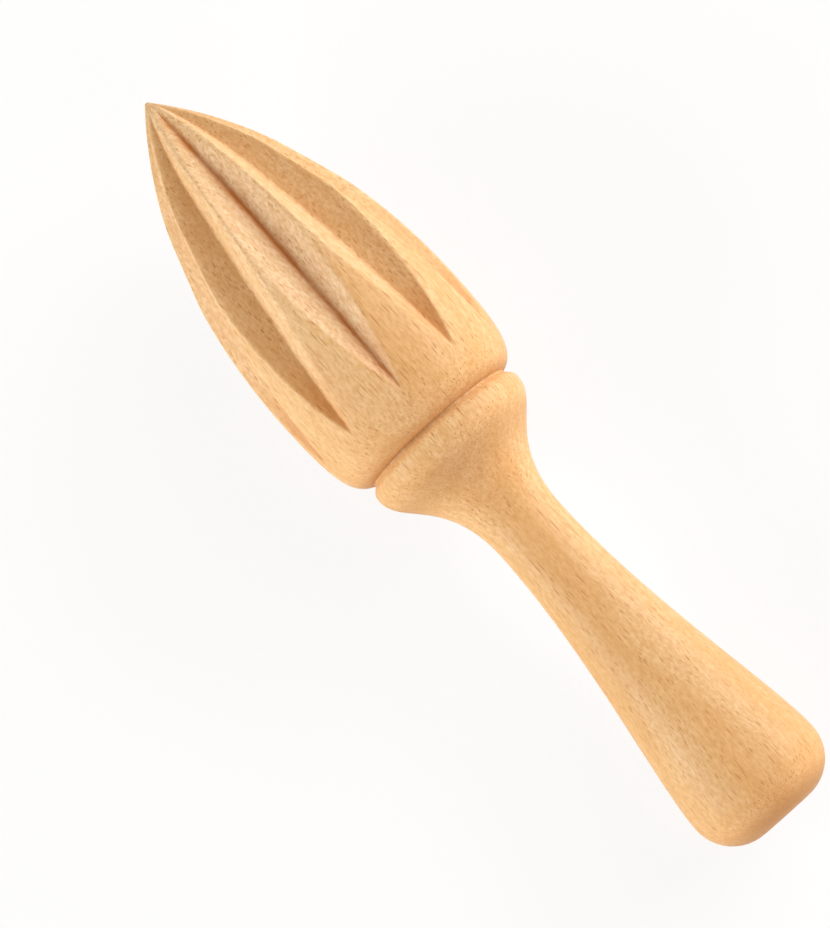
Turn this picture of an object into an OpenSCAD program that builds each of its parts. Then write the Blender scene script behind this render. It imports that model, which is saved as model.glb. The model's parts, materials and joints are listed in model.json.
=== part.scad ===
// Wooden citrus reamer, turned from one blank of beech: a pointed head with flutes, a groove
// behind it, a collar that sweeps down to a thin waist, and a handle that flares to a round butt.
// A station is a distance from the point, measured along the turning axis.
// The reamer lies on its side, with the point towards +X and one flute facing straight down.

/* [Overall] */
// Length from the point to the flat end of the butt
length = 160; // [150:1:175]

/* [Head] */
// Diameter of the head at its fullest ring
head_d = 38.2; // [35:0.1:42]
// Station of the fullest ring
head_at = 57; // [54:0.5:60]
// Diameter of the blunt point
nose_d = 0.7; // [0.6:0.1:1.4]
// Angle between the axis and the side of the head at the point
nose_angle = 40; // [37:1:43]
// Length over which the side of the head holds that angle
nose_reach = 16; // [13:0.5:18]
// Length over which it runs level in front of the fullest ring
front_reach = 26.5; // [22:0.5:28]
// Length over which it stays level behind the fullest ring
shoulder_reach = 12; // [10:0.5:13]
// Angle between the axis and the shoulder where it meets the groove
drop_angle = 76; // [66:1:84]
// Length over which the shoulder holds that angle
drop_reach = 3.8; // [2.6:0.2:5]

/* [Flutes] */
// Number of flutes round the head
flute_n = 10; // [8:1:12]
// Angle between the two walls of a flute
flute_angle = 110; // [100:1:116]
// Station where a flute runs out in a point
flute_end = 67.2; // [65:0.2:69]
// Angle between the axis and the bottom of a flute where it runs out
flute_rise = 7.8; // [6.4:0.1:9]
// Radius of the long arc that the bottom of a flute follows
flute_r = 400; // [320:10:500]
// Angle between the axis and the steeper bottom that opens a flute at the point
bite_angle = 27.5; // [25:0.5:30]
// Diameter of the ring on which the steeper bottoms start at the point
bite_d = 1.7; // [1.3:0.1:2.2]

/* [Groove and collar] */
// Station of the groove
groove_at = 74; // [72.4:0.1:75.6]
// Diameter at the bottom of the groove
groove_d = 28.6; // [26.6:0.2:29.6]
// Width of the bottom of the groove
groove_w = 0.3; // [0.2:0.1:0.8]
// Angle between the axis and the wall of the collar in the groove
wall_angle = 45; // [35:1:55]
// Diameter of the collar
collar_d = 31.2; // [30.4:0.2:34]
// Length from the groove to the fullest ring of the collar
collar_w = 2.2; // [1.6:0.1:3]
// Length over which the collar stays level before it sweeps down
collar_reach = 5.5; // [4:0.5:8]

/* [Handle] */
// Diameter of the waist
waist_d = 13.3; // [11.5:0.1:16]
// Station of the waist
waist_at = 97; // [93:0.5:103]
// Length over which the sweep levels out in front of the waist
sweep_reach = 14; // [11:0.5:16]
// Length over which the handle stays thin behind the waist
thin_reach = 21.5; // [14:0.5:26]
// Diameter of the butt
butt_d = 25.8; // [24:0.2:30]
// Length over which the flare levels out in front of the butt
butt_reach = 8.5; // [5:0.5:12]
// Radius of the rounding at the end of the butt
butt_r = 8; // [5:0.5:10]

/* [Hidden] */
$fn = 96;

butt_at = length - butt_r;
half_v = flute_angle / 2;

// A point of the outline is [radius, station]
nose = [nose_d / 2, 0];
fullest = [head_d / 2, head_at];
drop = [groove_d / 2, groove_at];
wall = [groove_d / 2, groove_at + groove_w];
collar = [collar_d / 2, groove_at + groove_w + collar_w];
waist = [waist_d / 2, waist_at];
rim = [butt_d / 2, butt_at];

// Step along the outline away from the axis, and towards the butt, at an angle to the axis
function step(reach, angle) = reach * [sin(angle), cos(angle)];
// Cubic curve from p to s that leaves towards q and arrives from r, without its first point
function curve(p, q, r, s, steps) = [
    for (i = [1:steps])
        let (t = i / steps, u = 1 - t) u*u*u * p + 3*u*u*t * q + 3*u*t*t * r + t*t*t * s
];

side = curve(nose, nose + step(nose_reach, nose_angle), fullest - step(front_reach, 0), fullest, 18);
shoulder = curve(fullest, fullest + step(shoulder_reach, 0),
    drop - step(drop_reach, -drop_angle), drop, 12);
lip = curve(wall, wall + step(collar_w / 2, wall_angle), collar - step(collar_w / 2, 0), collar, 5);
sweep = curve(collar, collar + step(collar_reach, 0), waist - step(sweep_reach, 0), waist, 12);
flare = curve(waist, waist + step(thin_reach, 0), rim - step(butt_reach, 0), rim, 12);
butt = [for (t = [10:10:90]) rim + butt_r * [cos(t) - 1, sin(t)]];
head = concat([nose], side, shoulder);
outline = concat(head, [wall], lip, sweep, flare, butt);

// Radius of the turned blank at a station
function radius(at) = lookup(at, [for (p = outline) [p[1], p[0]]]);

// Centre of the arc that the bottom of a flute follows, as [distance from the axis, station]
arc = [radius(flute_end), flute_end] - flute_r * [cos(flute_rise), -sin(flute_rise)];
// Distance from the axis to the bottom of a flute, on its long arc
function bottom(at) = arc[0] + sqrt(flute_r^2 - (at - arc[1])^2);
// Distance from the axis down to the edges of the flute that faces down
function foot(at) = at < flute_end
    ? radius(at) * cos(half_v - asin(bottom(at) * sin(half_v) / radius(at)))
    : radius(at);

// The head's lowest edges and the butt's rim both touch the ground
back_half = [for (p = head) if (p[1] > head_at) p[1]];
tilt = max([for (at = back_half) atan2(foot(at) - rim[0], rim[1] - at)]);
nose_z = rim[0] * cos(tilt) + rim[1] * sin(tilt);
// The origin is half-way between the ends
front_x = max([for (p = outline) p[0] * sin(tilt) - p[1] * cos(tilt)]);
back_x = max([for (p = outline) p[0] * sin(tilt) + p[1] * cos(tilt)]);
nose_x = (back_x - front_x) / 2;

// Solid of revolution under the outline, point down, along the axis
module blank() {
    rotate_extrude() polygon(concat([[0, 0]], outline, [[0, length]]));
}

// V of a flute's two walls, with its bottom at the origin and opening towards +X
module vee() {
    h = head_d / 4;
    polygon([[0, 0], [h, h * tan(half_v)], [h, -h * tan(half_v)]]);
}

// What one flute takes away: a V along the long arc, and a steeper one at the point
module flute() {
    past_end = 2;
    open = asin((arc[1] + bite_d) / flute_r) + past_end;
    translate([arc[0], 0, arc[1]]) rotate([90, 0, 0]) rotate([0, 0, past_end - flute_rise - open])
        rotate_extrude(angle = open, $fn = 720) translate([flute_r, 0]) vee();
    translate([bite_d / 2, 0, 0]) rotate([0, bite_angle, 0]) translate([0, 0, -bite_d])
        linear_extrude(head_at) vee();
}

// The blank with a number of its flutes cut, one after another
module fluted(count) {
    difference() {
        if (count > 1) fluted(count - 1); else blank();
        rotate([0, 0, 180 + count * 360 / flute_n]) flute();
    }
}

module reamer() {
    color([0.9, 0.72, 0.48]) translate([nose_x, 0, nose_z]) rotate([0, -90 - tilt, 0])
        fluted(flute_n);
}

reamer();
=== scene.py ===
import json
import math

import bmesh
import bpy
from mathutils import Matrix, Vector, noise
from mathutils.geometry import interpolate_bezier


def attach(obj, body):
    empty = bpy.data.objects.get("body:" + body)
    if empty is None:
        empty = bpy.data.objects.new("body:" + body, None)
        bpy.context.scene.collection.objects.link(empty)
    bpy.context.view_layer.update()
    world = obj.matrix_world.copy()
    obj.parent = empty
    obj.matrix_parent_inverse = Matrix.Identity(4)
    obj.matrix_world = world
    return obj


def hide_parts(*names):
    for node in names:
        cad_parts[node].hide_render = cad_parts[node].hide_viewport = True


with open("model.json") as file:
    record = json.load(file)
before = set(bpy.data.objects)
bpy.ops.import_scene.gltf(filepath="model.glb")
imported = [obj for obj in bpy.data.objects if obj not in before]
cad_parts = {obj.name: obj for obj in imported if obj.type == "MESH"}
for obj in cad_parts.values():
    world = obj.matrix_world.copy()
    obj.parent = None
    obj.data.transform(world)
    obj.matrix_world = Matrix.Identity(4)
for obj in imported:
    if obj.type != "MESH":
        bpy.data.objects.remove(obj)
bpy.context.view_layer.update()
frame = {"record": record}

# The turned blank
# A length of beech is spun between centres and copy-turned to one outline: a pointed head, a
# groove, a collar that sweeps down to the waist, and a handle that flares to a round butt.
# Points of the outline are in millimetres, as distance from the axis and distance from the point.
LENGTH = 160
NOSE = Vector((0.35, 0))
FULLEST = Vector((19.1, 57))
GROOVE = Vector((14.3, 74))
COLLAR_FOOT = Vector((14.3, 74.3))
COLLAR = Vector((15.6, 76.5))
WAIST = Vector((6.65, 97))
BUTT_R = 8
RIM = Vector((12.9, LENGTH - BUTT_R))
# Lengths over which the outline keeps its direction, and its angles to the axis in degrees
NOSE_REACH = 16
NOSE_ANGLE = 40
FRONT_REACH = 26.5
SHOULDER_REACH = 12
DROP_REACH = 3.8
DROP_ANGLE = -76
LIP_REACH = 1.1
LIP_ANGLE = 45
COLLAR_REACH = 5.5
SWEEP_REACH = 14
THIN_REACH = 21.5
BUTT_REACH = 8.5
BUTT_STEPS = 12
ROUND_STEPS = 320
SAME_POINT = 0.001


def towards_butt(reach, outwards=0):
    """A step towards the butt, turned away from the axis by an angle in degrees."""
    return reach * Vector((math.sin(math.radians(outwards)), math.cos(math.radians(outwards))))


def turned(start, leave, arrive, end, steps):
    """A smooth stretch of the outline, without its first point."""
    return interpolate_bezier(start, start + leave, end - arrive, end, steps + 1)[1:]


outline = [Vector((0, 0)), NOSE / 2, NOSE]
outline += turned(NOSE, towards_butt(NOSE_REACH, NOSE_ANGLE), towards_butt(FRONT_REACH), FULLEST,
                  steps=110)
outline += turned(FULLEST, towards_butt(SHOULDER_REACH), towards_butt(DROP_REACH, DROP_ANGLE),
                  GROOVE, steps=48)
outline += [GROOVE.lerp(COLLAR_FOOT, 1 / 3), GROOVE.lerp(COLLAR_FOOT, 2 / 3), COLLAR_FOOT]
outline += turned(COLLAR_FOOT, towards_butt(LIP_REACH, LIP_ANGLE), towards_butt(LIP_REACH), COLLAR,
                  steps=18)
outline += turned(COLLAR, towards_butt(COLLAR_REACH), towards_butt(SWEEP_REACH), WAIST, steps=40)
outline += turned(WAIST, towards_butt(THIN_REACH), towards_butt(BUTT_REACH), RIM, steps=52)
for step in range(1, BUTT_STEPS + 1):
    bend = math.radians(90 * step / BUTT_STEPS)
    outline += [RIM + BUTT_R * Vector((math.cos(bend) - 1, math.sin(bend)))]
outline += [Vector(((RIM.x - BUTT_R) / 2, LENGTH)), Vector((0, LENGTH))]

wood = bmesh.new()
points = [wood.verts.new((point.x, 0, point.y)) for point in outline]
edges = [wood.edges.new(pair) for pair in zip(points, points[1:])]
bmesh.ops.spin(wood, geom=points + edges, cent=(0, 0, 0), axis=(0, 0, 1), dvec=(0, 0, 0),
               angle=math.tau, steps=ROUND_STEPS, use_merge=True, use_duplicate=False)
bmesh.ops.remove_doubles(wood, verts=wood.verts, dist=SAME_POINT)

# The flutes
# A cutter with two straight walls runs up the head ten times. Its bottom line follows a long
# arc that leaves the wood in a spear point, and a steeper pass opens each flute at the nose.
FLUTES = 10
PITCH = math.tau / FLUTES
WALL_TO_MIDDLE = math.radians(55)
FLUTE_END = 67.2
FLUTE_END_R = min(outline, key=lambda point: abs(point.y - FLUTE_END)).x
FLUTE_RISE = math.radians(7.8)
FLUTE_ARC_R = 400
ARC_CENTRE_R = FLUTE_END_R - FLUTE_ARC_R * math.cos(FLUTE_RISE)
ARC_CENTRE_AT = FLUTE_END + FLUTE_ARC_R * math.sin(FLUTE_RISE)
BITE_R = 0.85
BITE_SLOPE = math.tan(math.radians(27.5))
BITE_BLEND = 1.2
# The cutter ran a little askew to the axis, and some flutes came out shallower than others
ASIDE_IN_FRONT = 0.45
ASIDE_AT_END = -0.35
ASIDE_GROWS_OVER = 1
SKEW_FROM = 27
SHALLOWER = (-0.06, 0.0, 0.02, 0.1, 0.05, 0.0, 0.1, 0.03, 0.1, -0.1)
# Painted shade along the bottom of each flute, with some of the cutter's scorch: how dark it is
# in each flute, how wide it spreads, and the depths of the flute between which it sets in
SHADED_AND_SCORCHED_BY = (1, 0.25, 0.5, 0.4, 0.8, 0.5, 0.6, 0.3, 0.7, 0.2)
VALLEY_SHADE_WIDTH = 0.55
VALLEY_SHADE_SETS_IN = (0.1, 1.2)
# Painted shade: the flute walls are darker towards the flutes' ends, and in the lower flutes
FLUTE_SHADE = 0.35
FLUTE_SHADE_FROM = 52
FLUTE_SHADE_FULL_FROM = 60
LOWER_FLUTE_SHADE = 0.1
WALL_DEPTH = 0.3
# Sanding rounds the ridges between flutes, and the edges where each flute meets the turned
# surface. The flute that lies on top, and the wall on each side that leans towards it, were
# sanded more, which leaves them rounder up to near the flute's end. They carry a painted sheen
# that makes them paler, as does the top of the head towards the point.
NOSE_RIDGE = 0.2
SANDED_RIDGE = 1.1
RIDGE_FULL_FROM = 30
SANDED_EDGE = 0.12
SANDED_MORE = 0.45
MORE_FADES_FROM = FLUTE_END - 24
MORE_ENDS = FLUTE_END - 10
SHEEN_FADES_FROM = 35
SHEEN_ENDS = 50
TOP_BLUR = 0.02
VALLEY_ROUND = 0.15
VALLEY_TURN_MOST = 0.03
# A wall has long left the wood where it gets this close to running straight outwards
WALL_TURN_LEFT = 0.05


def soft_min(a, b, width):
    """The smaller of two values, with the corner between them rounded off."""
    near = max(width - abs(a - b), 0) / width
    return min(a, b) - near * near * width / 4


def smooth_rise(low, high, value):
    """Rises smoothly from 0 at low to 1 at high."""
    share = min(max((value - low) / (high - low), 0), 1)
    return share * share * (3 - 2 * share)


def flute_bottom(at):
    """Distance from the axis to the bottom line of a flute."""
    long_arc = ARC_CENTRE_R + math.sqrt(FLUTE_ARC_R ** 2 - (at - ARC_CENTRE_AT) ** 2)
    return soft_min(long_arc, BITE_R + at * BITE_SLOPE, BITE_BLEND)


def flute_wall(bottom, turn):
    """Distance from the axis to a flute's wall, at an angle from the flute's middle."""
    turn = math.hypot(turn, min(VALLEY_ROUND / bottom, VALLEY_TURN_MOST))
    if turn > WALL_TO_MIDDLE - WALL_TURN_LEFT:
        return math.inf
    return bottom * math.sin(WALL_TO_MIDDLE) / math.sin(WALL_TO_MIDDLE - turn)


def flute_edge(bottom, radius):
    """Angle from a flute's middle to the edge where its wall meets the turned surface."""
    sine = bottom * math.sin(WALL_TO_MIDDLE) / radius
    return WALL_TO_MIDDLE - math.asin(min(sine, math.sin(WALL_TO_MIDDLE)))


# Lines of the mesh are drawn together, so that some of them run along the edges of the flutes
WALL_LINES = 10 / 16
EVEN_EDGE = WALL_LINES * PITCH / 2
NARROWEST_EDGE = math.radians(4.5)
WIDEST_EDGE = 0.93 * PITCH / 2
MESH_EASES_FROM = FLUTE_END - 2
MESH_EASES_BY = FLUTE_END + 9
ON_AXIS = 0.01
for name in ("shade_and_scorch", "painted_sheen"):
    wood.verts.layers.float.new(name)
shade_and_scorch = wood.verts.layers.float["shade_and_scorch"]
painted_sheen = wood.verts.layers.float["painted_sheen"]
for vert in wood.verts:
    radius = math.hypot(vert.co.x, vert.co.y)
    at = vert.co.z
    if at > MESH_EASES_BY or radius < ON_AXIS:
        continue
    turn = math.atan2(vert.co.y, vert.co.x)
    flute = round(turn / PITCH)
    from_middle = turn - flute * PITCH
    neighbour = flute + (1 if from_middle > 0 else -1)
    bottom = flute_bottom(at) + SHALLOWER[flute % FLUTES]
    across = flute_bottom(at) + SHALLOWER[neighbour % FLUTES]

    # Where on the flute this point of the mesh goes
    edge = min(max(flute_edge(bottom, radius), NARROWEST_EDGE), WIDEST_EDGE)
    edge += (EVEN_EDGE - edge) * smooth_rise(MESH_EASES_FROM, MESH_EASES_BY, at)
    share = abs(from_middle) / (PITCH / 2)
    if share < WALL_LINES:
        spread = edge * share / WALL_LINES
    else:
        spread = edge + (PITCH / 2 - edge) * (share - WALL_LINES) / (1 - WALL_LINES)
    ridge = SANDED_RIDGE * smooth_rise(0, RIDGE_FULL_FROM, at) + NOSE_RIDGE
    cut = soft_min(flute_wall(bottom, spread), flute_wall(across, PITCH - spread), ridge)

    # Painted shade in the flutes, partly the cutter's scorch, and the painted sheen on top
    from_valley = bottom * spread / VALLEY_SHADE_WIDTH
    dark_line = math.exp(-from_valley * from_valley) * smooth_rise(*VALLEY_SHADE_SETS_IN, radius - bottom)
    in_flute = smooth_rise(0, WALL_DEPTH, radius - cut)
    on_top = smooth_rise(PITCH + TOP_BLUR, PITCH - TOP_BLUR, abs(turn))
    wall_shade = FLUTE_SHADE * smooth_rise(FLUTE_SHADE_FROM, FLUTE_SHADE_FULL_FROM, at) + LOWER_FLUTE_SHADE * (1 - on_top)
    vert[shade_and_scorch] = max(dark_line * SHADED_AND_SCORCHED_BY[flute % FLUTES], in_flute * wall_shade)
    vert[painted_sheen] = on_top * max(in_flute, smooth_rise(SHEEN_ENDS, SHEEN_FADES_FROM, at))
    more = SANDED_MORE * on_top * smooth_rise(MORE_ENDS, MORE_FADES_FROM, at)
    radius = soft_min(radius, cut, SANDED_EDGE + more)

    # How far aside the cutter ran
    skew = min(max(at - SKEW_FROM, 0) / (FLUTE_END - SKEW_FROM), 1)
    aside = ASIDE_IN_FRONT + (ASIDE_AT_END - ASIDE_IN_FRONT) * skew
    aside = aside * at / (at + ASIDE_GROWS_OVER)
    aside *= 1 - smooth_rise(FLUTE_END, MESH_EASES_BY, at)
    turn = flute * PITCH + math.copysign(spread, from_middle) - aside / flute_bottom(at)
    vert.co.x = radius * math.cos(turn)
    vert.co.y = radius * math.sin(turn)

# The sanded surface
# The wood is sanded by hand while it spins, so the skin is a little uneven all over. A thin dark
# line of painted shade lies along the bottom of the groove, darker on the side that lies
# uppermost, and a broader band of painted shade lies on both sides of it.
UNEVEN = 0.035
UNEVEN_SPAN = 4.5
UNEVEN_ALONG = 0.4
EVEN_WITHIN = 0.5
LINE_AT = GROOVE.y + 0.1
LINE_WIDTH = 0.17
LINE_SHADE_LEAST = 0.08
LINE_SHADE_MORE = 0.3
LINE_SHADE_SIDE = math.radians(20)
LINE_SHADE_SPREAD = (0.6, 0.95)
GROOVE_SHADE_AT = GROOVE.y + 0.2
GROOVE_SHADE_WIDTH = 1.7
GROOVE_SHADED_BY = 0.16
groove_line_shade = wood.verts.layers.float.new("groove_line_shade")
for vert in wood.verts:
    out = Vector((vert.co.x, vert.co.y, 0))
    if out.length < EVEN_WITHIN:
        continue
    # A thin dark line of painted shade in the groove, darker on the side that lies uppermost
    from_line = (vert.co.z - LINE_AT) / LINE_WIDTH
    facing = math.cos(math.atan2(vert.co.y, vert.co.x) - LINE_SHADE_SIDE)
    dark_line = LINE_SHADE_LEAST + LINE_SHADE_MORE * smooth_rise(*LINE_SHADE_SPREAD, facing)
    vert[groove_line_shade] = math.exp(-from_line * from_line) * dark_line
    # A broader band of painted shade on both sides of the groove
    from_groove_shade = (vert.co.z - GROOVE_SHADE_AT) / GROOVE_SHADE_WIDTH
    vert[shade_and_scorch] += GROOVE_SHADED_BY * math.exp(-from_groove_shade * from_groove_shade)
    spot = Vector((vert.co.x, vert.co.y, vert.co.z * UNEVEN_ALONG)) / UNEVEN_SPAN
    vert.co -= out.normalized() * UNEVEN * (0.5 + 0.5 * noise.noise(spot))

# Where the surface cuts across the fibres it shows end grain, which is darker. The tool
# burnished it in the groove, so less of it shows there.
END_GRAIN_SETS_IN = (0.45, 0.95)
GROOVE_SHOWS = 0.3
wood.normal_update()
end_grain = wood.verts.layers.float.new("end_grain")
for vert in wood.verts:
    shows = GROOVE_SHOWS if FLUTE_END < vert.co.z < COLLAR.y else 1
    vert[end_grain] = shows * smooth_rise(*END_GRAIN_SETS_IN, abs(vert.normal.z))

# It lies on its side: the middle of the butt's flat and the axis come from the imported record
MM = 0.001
butt_flat = frame["record"]["mounts"][0]
axis = Vector(butt_flat["axis"])
point_at = Vector(butt_flat["pos_m"]) - axis * LENGTH * MM
lean = math.atan2(axis.z, -axis.x)
lying = Matrix.Translation(point_at) @ Matrix.Rotation(lean - math.pi / 2, 4, "Y")
bmesh.ops.transform(wood, matrix=lying @ Matrix.Scale(MM, 4), verts=wood.verts)
bmesh.ops.recalc_face_normals(wood, faces=wood.faces)
for face in wood.faces:
    face.smooth = True
reamer_mesh = bpy.data.meshes.new("beech_reamer")
wood.to_mesh(reamer_mesh)
wood.free()
reamer = bpy.data.objects.new("beech_reamer", reamer_mesh)
bpy.context.scene.collection.objects.link(reamer)
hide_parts("reamer")
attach(reamer, "root")

# The beech
# Pale steamed beech, sanded and left bare. Its pores and rays run along the handle as short dark
# dashes and show as dots where the turning cuts across them, and its growth rings are faint.
# The first colour is the painted sheen on the top of the head.
SHEEN_CREAM = (0.92, 0.70, 0.45, 1)
PALE = (0.88, 0.60, 0.32, 1)
WARM = (0.82, 0.50, 0.23, 1)
RING = (0.66, 0.33, 0.11, 1)
ACROSS = (0.50, 0.25, 0.085, 1)
FLECK = (0.48, 0.18, 0.045, 1)
PORE = (0.38, 0.11, 0.025, 1)
# The next two colours are painted shade: one for the flutes and beside the groove, partly scorch,
# and one for the dark line in the groove.
SHADE_AND_SCORCH = (0.60, 0.18, 0.02, 1)
DARK_LINE_SHADE = (0.27, 0.085, 0.02, 1)
beech = bpy.data.materials.new("sanded_beech")
beech.use_nodes = True
tree = beech.node_tree
shader = tree.nodes["Principled BSDF"]


def node(kind, settings=(), **inputs):
    """Adds a node. An input goes by its name or as in_0, in_1, and takes a value or a socket."""
    made = tree.nodes.new(kind)
    for name, value in settings:
        setattr(made, name, value)
    for name, value in inputs.items():
        socket = made.inputs[int(name[3:]) if name.startswith("in_") else name]
        if isinstance(value, bpy.types.NodeSocket):
            tree.links.new(value, socket)
        else:
            socket.default_value = value
    return made


def maths(operation, a, b=0.0):
    """A working of two numbers."""
    return node("ShaderNodeMath", [("operation", operation)], in_0=a, in_1=b).outputs[0]


def fade(value, low, high, low_gives=0.0, high_gives=1.0):
    """Carries a number from one range to another, with smooth ends."""
    made = node("ShaderNodeMapRange", [("interpolation_type", "SMOOTHSTEP")],
                in_0=value, in_1=low, in_2=high, in_3=low_gives, in_4=high_gives)
    return made.outputs[0]


def stain(amount, under, over):
    """One colour laid over another by an amount."""
    made = node("ShaderNodeMix", [("data_type", "RGBA")], in_0=amount, in_6=under, in_7=over)
    return made.outputs[2]


# Millimetres in the wood, with X along the axis
place = node("ShaderNodeTexCoord")
in_wood = node("ShaderNodeMapping", in_0=place.outputs["Object"], in_2=(0, -lean, 0),
               in_3=(1 / MM, 1 / MM, 1 / MM)).outputs[0]


def grain(across, along, shift):
    """Places in the wood, counted in steps of so many millimetres across and along the grain."""
    return node("ShaderNodeMapping", in_0=in_wood, in_1=(shift, shift, shift),
                in_3=(1 / along, 1 / across, 1 / across)).outputs[0]


def cloudy(across, along, shift, detail=2.0, roughness=0.5):
    """A soft noise drawn out along the grain."""
    return node("ShaderNodeTexNoise", in_0=grain(across, along, shift), Scale=1.0, Detail=detail,
                Roughness=roughness).outputs[0]


def attribute(name):
    """A number that the vertices carry."""
    return node("ShaderNodeAttribute", [("attribute_name", name)]).outputs["Fac"]


SHEEN_SHOWS = 0.55
figure = cloudy(across=9, along=45, shift=4.4, detail=3.0)
streaks = cloudy(across=0.7, along=26, shift=2.3, detail=3.0, roughness=0.6)
fibre = cloudy(across=0.3, along=2.2, shift=0.0, detail=4.0, roughness=0.65)
mottle = cloudy(across=0.6, along=1.1, shift=9.1, detail=3.0, roughness=0.6)
colour = stain(fade(figure, 0.35, 0.68), PALE, WARM)
# Painted sheen: the top flute, the walls that lean towards it and the top of the head near the
# point are painted paler
colour = stain(maths("MULTIPLY", attribute("painted_sheen"), SHEEN_SHOWS), colour, SHEEN_CREAM)
colour = stain(fade(streaks, 0.4, 0.75, high_gives=0.35), colour, RING)
colour = stain(fade(fibre, 0.35, 0.75, high_gives=0.45), colour, RING)
colour = stain(fade(mottle, 0.38, 0.68, high_gives=0.5), colour, RING)

# Growth rings, round a pith that lay outside the blank
PITH = (0, 31, 47)
RING_WIDTH = 2.6
RING_DRIFT = 6.0
RING_TAPER = 0.03
pith = node("ShaderNodeMapping", in_0=in_wood, in_1=PITH, in_3=(RING_TAPER, 1, 1))
from_pith = node("ShaderNodeVectorMath", [("operation", "LENGTH")], in_0=pith.outputs[0])
drift = maths("MULTIPLY", cloudy(across=14, along=60, shift=3.1), RING_DRIFT)
ring = maths("MULTIPLY", maths("ADD", from_pith.outputs["Value"], drift), math.tau / RING_WIDTH)
colour = stain(fade(maths("SINE", ring), 0.0, 1.0, high_gives=0.16), colour, RING)

# Pores and rays. They gather in bands, and each is darkest along its core.
BAND_ACROSS = 3.5
BAND_ALONG = 14
CORE = 0.4
FINE_PORES_SHOW = 0.5
FLECKS_SHOW = 0.65
PORES_SHOW = 0.65


def dashes(across, along, size, shift, bare, full):
    """Short spindles along the grain, which gather where a soft noise is strong."""
    spindle = node("ShaderNodeTexVoronoi", in_0=grain(across, along, shift), Scale=1.0)
    spot = fade(spindle.outputs["Distance"], size, size * CORE)
    return maths("MULTIPLY", spot, fade(cloudy(BAND_ACROSS, BAND_ALONG, shift + 7), bare, full))


pores = dashes(across=0.42, along=8.0, size=0.26, shift=0.0, bare=0.36, full=0.56)
flecks = dashes(across=0.6, along=11.0, size=0.24, shift=11.3, bare=0.38, full=0.58)
fine_pores = dashes(across=0.25, along=4.0, size=0.3, shift=5.7, bare=0.2, full=0.45)
colour = stain(maths("MULTIPLY", fine_pores, FINE_PORES_SHOW), colour, FLECK)
colour = stain(maths("MULTIPLY", flecks, FLECKS_SHOW), colour, FLECK)
colour = stain(maths("MULTIPLY", pores, PORES_SHOW), colour, PORE)

# End grain is darker, and the handle is a shade darker than the head
END_GRAIN_SHOWS = 0.8
HEAD_SHADE_TO = 10.0
HANDLE_SHADE_FROM = -40.0
colour = stain(maths("MULTIPLY", attribute("end_grain"), END_GRAIN_SHOWS), colour, ACROSS)
along = node("ShaderNodeSeparateXYZ", in_0=in_wood).outputs["X"]
colour = stain(fade(along, HEAD_SHADE_TO, HANDLE_SHADE_FROM, high_gives=0.2), colour, RING)

# Small tears in the grain beside the groove, and hairlines across it, on the side that lies
# uppermost. Each has its distance from the point, its distance aside, its length and its width.
TEARS = ((75.6, -10.0, 1.5, 0.5), (75.5, -4.2, 1.6, 0.45), (75.7, 1.6, 1.6, 0.5),
         (71.0, -4.3, 14.0, 0.2), (68.4, 3.7, 8.0, 0.2))
TEAR_DEPTH = 20
TEAR_DEPTH_AT = 12
TEAR_CORE = 0.4
TEARS_SHOW = 0.55
point_in_wood = Matrix.Rotation(-lean, 3, "Y") @ point_at / MM
torn = 0.0
for at, aside, length, width in TEARS:
    scale = Vector((2 / length, 2 / width, 2 / TEAR_DEPTH))
    middle = point_in_wood + Vector((-at, aside, TEAR_DEPTH_AT))
    tear = node("ShaderNodeMapping", in_0=in_wood, in_1=-middle * scale, in_3=scale)
    away = node("ShaderNodeVectorMath", [("operation", "LENGTH")], in_0=tear.outputs[0])
    torn = maths("ADD", torn, fade(away.outputs["Value"], 1.0, TEAR_CORE))
frayed = fade(cloudy(across=1.5, along=2.5, shift=5.1), 0.35, 0.5, low_gives=0.4)
torn = maths("MULTIPLY", torn, frayed)
colour = stain(maths("MULTIPLY", torn, TEARS_SHOW), colour, PORE)

# Painted shade in the flutes and beside the groove, partly the cutter's scorch, and the dark line
# of painted shade in the groove
patchy = fade(cloudy(across=2, along=9, shift=6.6), 0.3, 0.6, low_gives=0.5, high_gives=0.9)
colour = stain(maths("MULTIPLY", attribute("shade_and_scorch"), patchy), colour, SHADE_AND_SCORCH)
broken = fade(cloudy(across=0.5, along=1.5, shift=3.3), 0.3, 0.6, low_gives=0.4, high_gives=0.9)
colour = stain(maths("MULTIPLY", attribute("groove_line_shade"), broken), colour, DARK_LINE_SHADE)
tree.links.new(colour, shader.inputs["Base Color"])

# Fibres stand a little proud of the pores and tears, which are also rougher
FLECK_DEPTH = 0.6
FIBRE_HEIGHT = 0.5
RELIEF = 0.0001
SMOOTHEST = 0.34
ROUGHEST = 0.5
hollows = maths("ADD", maths("ADD", pores, torn), maths("MULTIPLY", flecks, FLECK_DEPTH))
relief = maths("SUBTRACT", maths("MULTIPLY", fibre, FIBRE_HEIGHT), hollows)
bump = node("ShaderNodeBump", Height=relief, Strength=0.3, Distance=RELIEF)
tree.links.new(bump.outputs[0], shader.inputs["Normal"])
rough = fade(maths("ADD", fibre, hollows), 0.3, 0.9, SMOOTHEST, ROUGHEST)
tree.links.new(rough, shader.inputs["Roughness"])
shader.inputs["Specular IOR Level"].default_value = 0.15
reamer_mesh.materials.append(beech)

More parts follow.
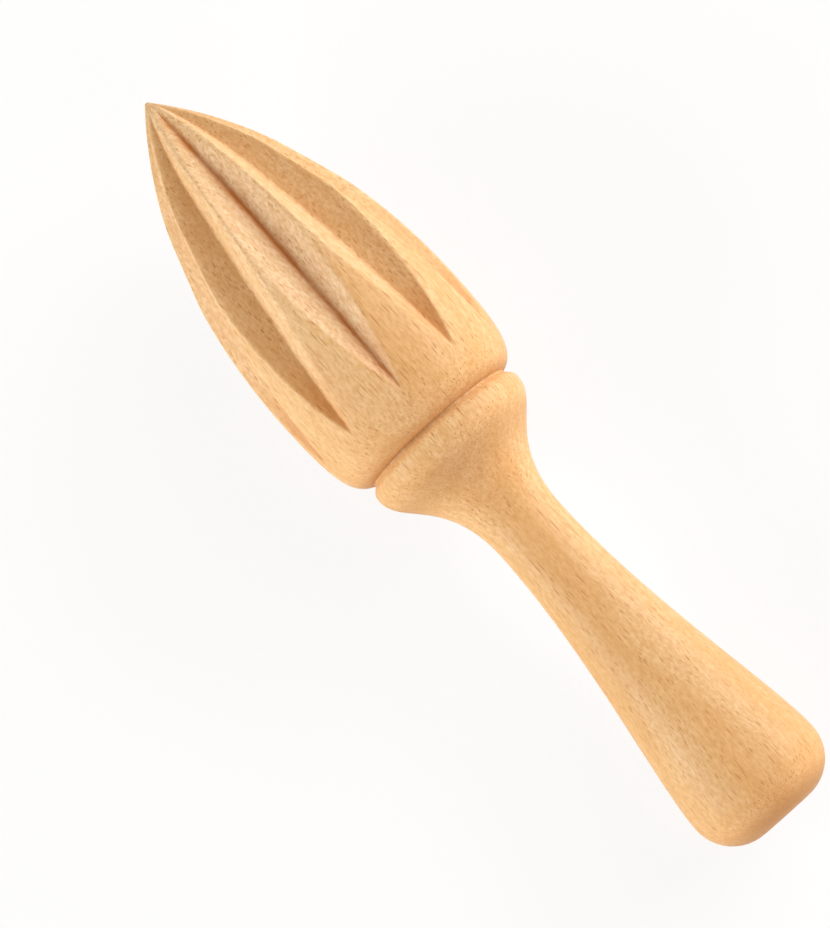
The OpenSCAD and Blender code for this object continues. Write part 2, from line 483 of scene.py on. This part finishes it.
# The floor
# Plain white paper. The camera sees it almost white, and the reamer's shadow stays on it.
FLOOR_REACH = 2.5
PAPER = (0.93, 0.92, 0.91, 1)
SEEN_WHITE = 0.85
floor_mesh = bpy.data.meshes.new("floor")
sheet = bmesh.new()
bmesh.ops.create_grid(sheet, x_segments=1, y_segments=1, size=FLOOR_REACH)
sheet.to_mesh(floor_mesh)
sheet.free()
floor = bpy.data.objects.new("floor", floor_mesh)
bpy.context.scene.collection.objects.link(floor)
paper = bpy.data.materials.new("white_paper")
paper.use_nodes = True
tree = paper.node_tree
matte = tree.nodes["Principled BSDF"]
matte.inputs["Base Color"].default_value = PAPER
matte.inputs["Roughness"].default_value = 0.9
matte.inputs["Specular IOR Level"].default_value = 0.0
seen = node("ShaderNodeLightPath").outputs["Is Camera Ray"]
white = node("ShaderNodeEmission", Strength=1.0).outputs[0]
mixed = node("ShaderNodeMixShader", in_0=maths("MULTIPLY", seen, SEEN_WHITE),
             in_1=matte.outputs[0], in_2=white).outputs[0]
tree.links.new(mixed, tree.nodes["Material Output"].inputs["Surface"])
floor_mesh.materials.append(paper)

# The lamps
# Two long soft lamps stand low on either side of the reamer, a weaker one hangs higher on the
# right, and a fourth lights the end with the butt. The walls of the room add a little warm light.
LAMP_AIM = Vector((0, 0, 0.015))
LAMP_WIDTH = 0.9
LAMP_HEIGHT = 0.5
ROOM_LIGHT = 0.12
ROOM_TINT = (1, 0.74, 0.6, 1)


def lamp(name, at, power, tint):
    """A long soft lamp that faces the reamer."""
    light = bpy.data.lights.new(name, "AREA")
    light.shape = "RECTANGLE"
    light.size = LAMP_WIDTH
    light.size_y = LAMP_HEIGHT
    light.energy = power
    light.color = tint
    holder = bpy.data.objects.new(name, light)
    holder.location = at
    holder.rotation_euler = (LAMP_AIM - Vector(at)).to_track_quat("-Z", "Y").to_euler()
    bpy.context.scene.collection.objects.link(holder)


lamp("right_lamp", at=(0.13, -0.85, 0.33), power=9.1, tint=(0.9, 0.98, 1))
lamp("left_lamp", at=(0.2, 0.84, 0.33), power=9.8, tint=(0.91, 0.98, 1))
lamp("high_lamp", at=(0.1, -0.64, 0.66), power=2.9, tint=(1, 0.9, 0.88))
lamp("end_lamp", at=(-0.85, 0, 0.38), power=3.8, tint=(1, 0.82, 0.7))
room = bpy.data.worlds.new("room")
room.use_nodes = True
room.node_tree.nodes["Background"].inputs["Color"].default_value = ROOM_TINT
room.node_tree.nodes["Background"].inputs["Strength"].default_value = ROOM_LIGHT
bpy.context.scene.world = room

# The camera
# It looks down on the reamer through a long lens, from a little behind the butt, and is turned
# so that the reamer lies across the picture from corner to corner.
CAMERA_AIM = Vector((0.00487, 0.00695, 0.015))
CAMERA_REACH = 0.7
CAMERA_LEAN = math.radians(10)
CAMERA_TURN = math.radians(-131.983)
CAMERA_LENS = 162.35
CAMERA_NEAREST = 0.01
view = Matrix.Rotation(-CAMERA_LEAN, 4, "Y") @ Matrix.Rotation(CAMERA_TURN, 4, "Z")
lens = bpy.data.cameras.new("camera")
lens.lens = CAMERA_LENS
lens.clip_start = CAMERA_NEAREST
camera = bpy.data.objects.new("camera", lens)
camera.matrix_world = (Matrix.Translation(CAMERA_AIM) @ view
                       @ Matrix.Translation((0, 0, CAMERA_REACH)))
bpy.context.scene.collection.objects.link(camera)
bpy.context.scene.camera = camera
bpy.context.scene.view_settings.view_transform = "Standard"
